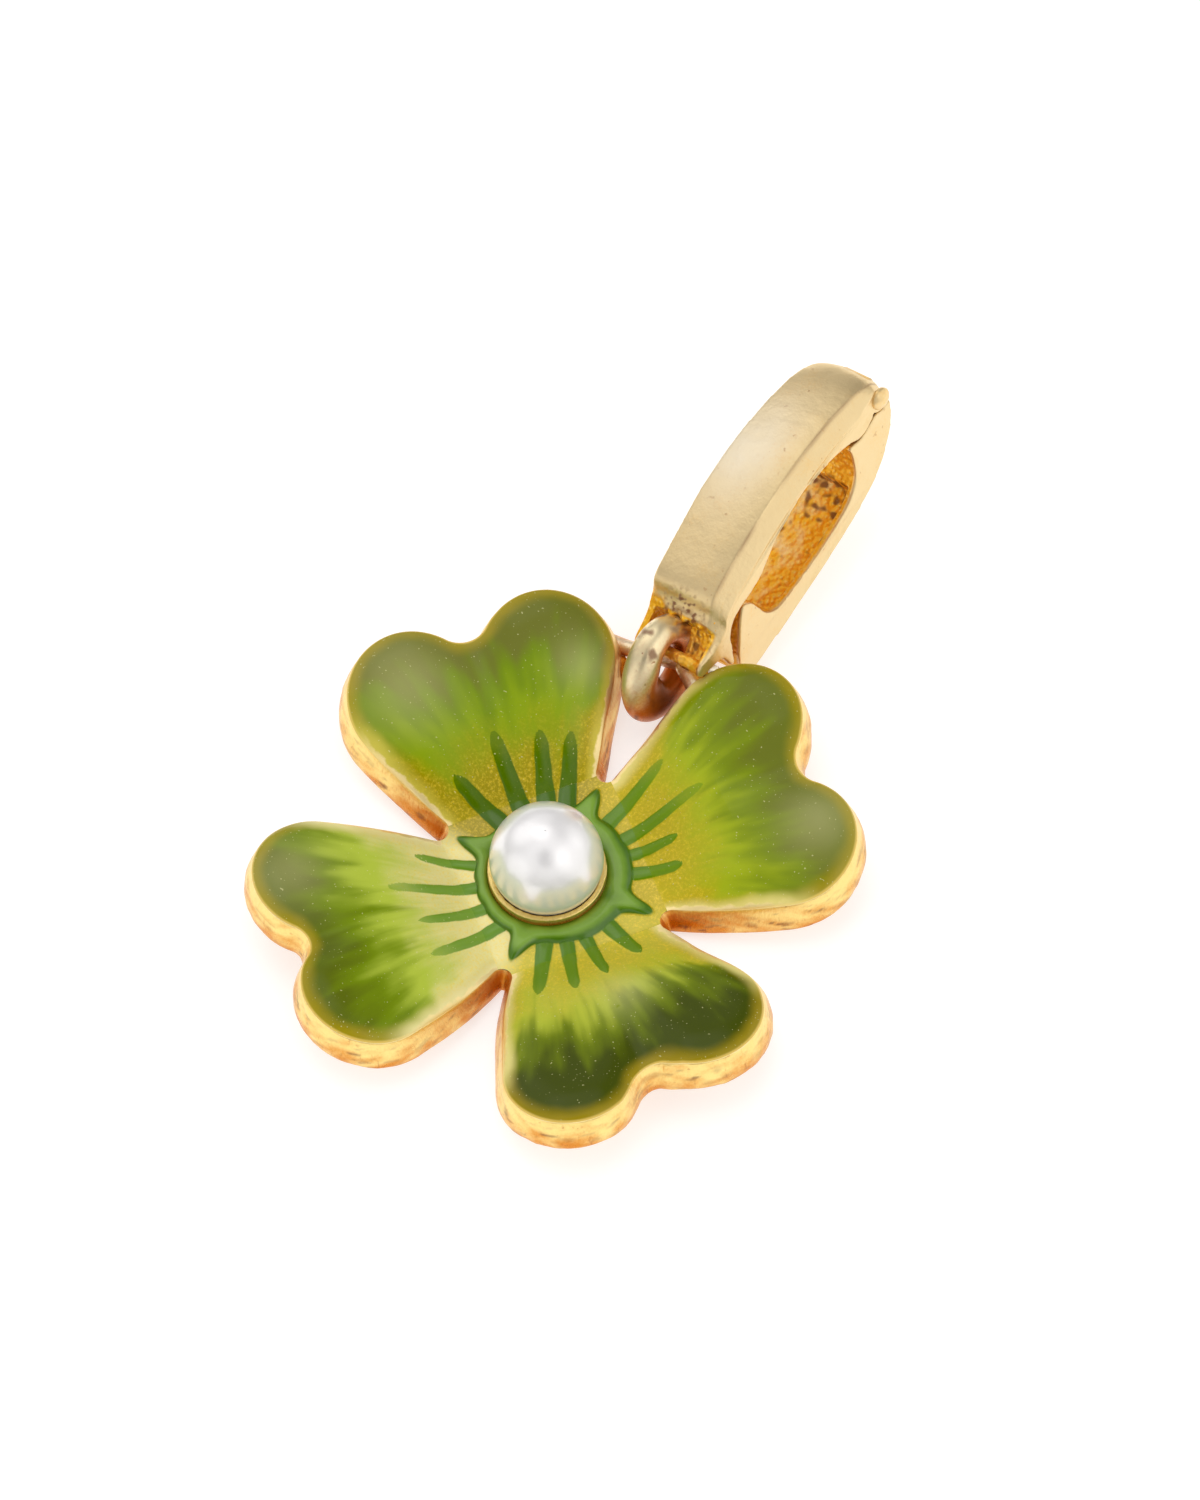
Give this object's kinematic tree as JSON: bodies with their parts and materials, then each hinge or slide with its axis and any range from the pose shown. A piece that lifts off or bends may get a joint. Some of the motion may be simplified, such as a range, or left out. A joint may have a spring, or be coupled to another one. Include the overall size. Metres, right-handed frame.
{
  "type": "clover pendant",
  "caption": "Cast clover pendant with domed green enamel leaves, a pearl in a raised cup, a jump ring and a bail with a gate that opens at the back.",
  "frame": {"origin": "middle of the flat pad on the back of the flower, on the surface that it lies on", "axes": "+Z out of the flower's face, +Y from the flower towards the bail, +X to the right seen from the front"},
  "size_m": [0.0248, 0.0385, 0.0084],
  "materials": {
    "gold": "satin gold plating over a cast alloy",
    "leaf_enamel": "glossy translucent enamel",
    "centre_enamel": "glossy translucent enamel",
    "pearl": "soft pearl lustre"
  },
  "bodies": {
    "root": {"clover_body": "gold", "leaf_enamel_1": "leaf_enamel", "leaf_enamel_2": "leaf_enamel", "leaf_enamel_3": "leaf_enamel", "leaf_enamel_4": "leaf_enamel", "centre_enamel": "centre_enamel", "pearl": "pearl", "jump_ring": "gold", "bail_front": "gold", "hinge_pin": "gold"},
    "gate": {"bail_gate": "gold"}
  },
  "joints": [
    {"name": "gate_hinge", "type": "hinge", "parent": "root", "child": "gate", "pos_m": [0.00325, 0.02512, 0.00646], "axis": [0.9396, -0.2239, 0.2588], "range_deg": [0, 50]}
  ]
}
